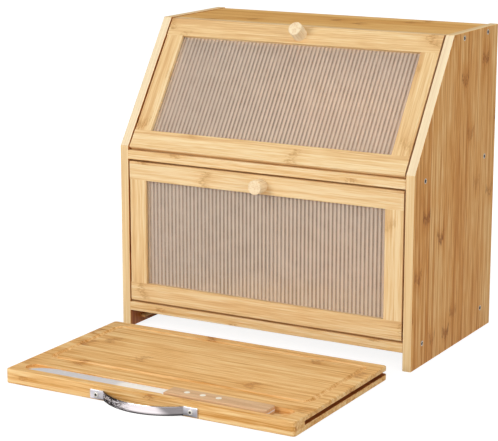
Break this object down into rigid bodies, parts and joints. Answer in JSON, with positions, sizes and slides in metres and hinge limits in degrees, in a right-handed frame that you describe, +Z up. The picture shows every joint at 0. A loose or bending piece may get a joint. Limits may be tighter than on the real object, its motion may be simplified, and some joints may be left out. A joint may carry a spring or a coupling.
{
  "type": "bread box",
  "caption": "Bamboo bread box with a sloped upper door and an upright lower door with reeded panes, over a slide-in cutting board that carries a bread knife.",
  "frame": {"origin": "centre of the bottom of the whole object's box, with the cutting board drawn out: X = 0 at mid-width, Z = 0 on the counter, Y = 0 midway between the pull's bow and the cabinet's rear", "axes": "+X to the right seen from the front, +Y to the rear and the way the board slides in, +Z up"},
  "size_m": [0.4, 0.524, 0.3876],
  "materials": {
    "bamboo": "satin clear lacquer over laminated bamboo strips",
    "board_bamboo": "oiled laminated bamboo",
    "turned_knob": "satin, pale end grain in front",
    "reeded_pane": "clear reeded acrylic",
    "bright_nickel": "bright nickel plate",
    "steel_screw": "zinc-plated steel",
    "steel_pin": "drawn steel",
    "magnet": "nickel-plated magnet",
    "knife_steel": "ground stainless steel",
    "handle_wood": "smooth oiled reddish hardwood"
  },
  "bodies": {
    "cabinet": {"side_left": "bamboo", "side_right": "bamboo", "top_panel": "bamboo", "middle_shelf": "bamboo", "bottom_shelf": "bamboo", "back_panel": "bamboo", "runner_left": "bamboo", "runner_right": "bamboo", "side_screws_left": "steel_screw", "side_screws_right": "steel_screw", "door_stops": "bamboo", "catch_magnets": "magnet"},
    "upper_door": {"upper_foot_rail": "bamboo", "upper_head_rail": "bamboo", "upper_left_stile": "bamboo", "upper_right_stile": "bamboo", "upper_pane": "reeded_pane", "upper_knob": "turned_knob", "upper_knob_screw": "steel_screw", "upper_magnets": "magnet", "upper_hinge_pins": "steel_pin"},
    "lower_door": {"lower_foot_rail": "bamboo", "lower_head_rail": "bamboo", "lower_left_stile": "bamboo", "lower_right_stile": "bamboo", "lower_pane": "reeded_pane", "lower_knob": "turned_knob", "lower_knob_screw": "steel_screw", "lower_magnets": "magnet", "lower_hinge_pins": "steel_pin"},
    "cutting_board": {"cutting_board": "board_bamboo", "pull_handle": "bright_nickel", "pull_screws": "steel_screw"},
    "knife": {"knife_blade": "knife_steel", "handle_scale_lower": "handle_wood", "handle_scale_upper": "handle_wood", "knife_rivets": "steel_pin"}
  },
  "joints": [
    {"name": "upper_door_hinge", "type": "hinge", "parent": "cabinet", "child": "upper_door", "pos_m": [0, 0.02769, 0.23315], "axis": [1, 0, 0], "range_deg": [0, 138]},
    {"name": "lower_door_hinge", "type": "hinge", "parent": "cabinet", "child": "lower_door", "pos_m": [0, 0.0265, 0.0413], "axis": [1, 0, 0], "range_deg": [0, 90]},
    {"name": "board_slide", "type": "slide", "parent": "cabinet", "child": "cutting_board", "axis": [0, 1, 0], "range_m": [0, 0.262]},
    {"name": "knife_lift", "type": "slide", "parent": "cutting_board", "child": "knife", "axis": [0, 0, 1], "range_m": [0, 0.3]}
  ]
}
